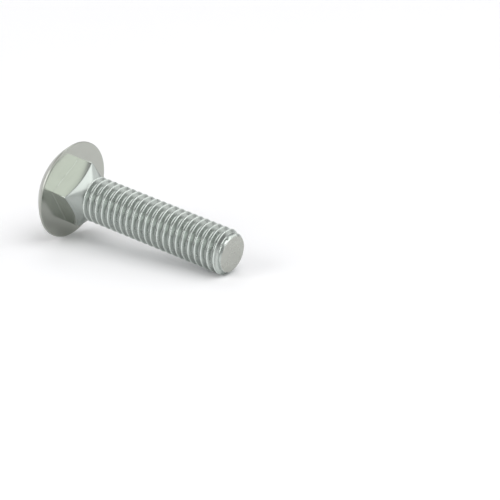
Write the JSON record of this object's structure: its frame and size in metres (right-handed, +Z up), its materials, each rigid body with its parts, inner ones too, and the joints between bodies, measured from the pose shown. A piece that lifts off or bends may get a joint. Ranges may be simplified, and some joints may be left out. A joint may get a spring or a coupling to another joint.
{
  "type": "carriage bolt",
  "caption": "Zinc-plated carriage bolt with a low domed round head, a square neck, a coarse right-hand thread up to the neck and a chamfered end, lying at rest.",
  "frame": {"origin": "on the floor the bolt lies on, under the middle of its bounding box", "axes": "+X along the bolt from its head to its threaded end, +Y across it, +Z up; the bolt's own axis lies in the XZ plane and dips 7.9 degrees towards +X"},
  "size_m": [0.0468, 0.0206, 0.0206],
  "materials": {
    "zinc_plate": "bright zinc plate over steel, satin with fine drawn streaks"
  },
  "bodies": {
    "root": {"carriage_bolt": "zinc_plate"}
  },
  "joints": []
}
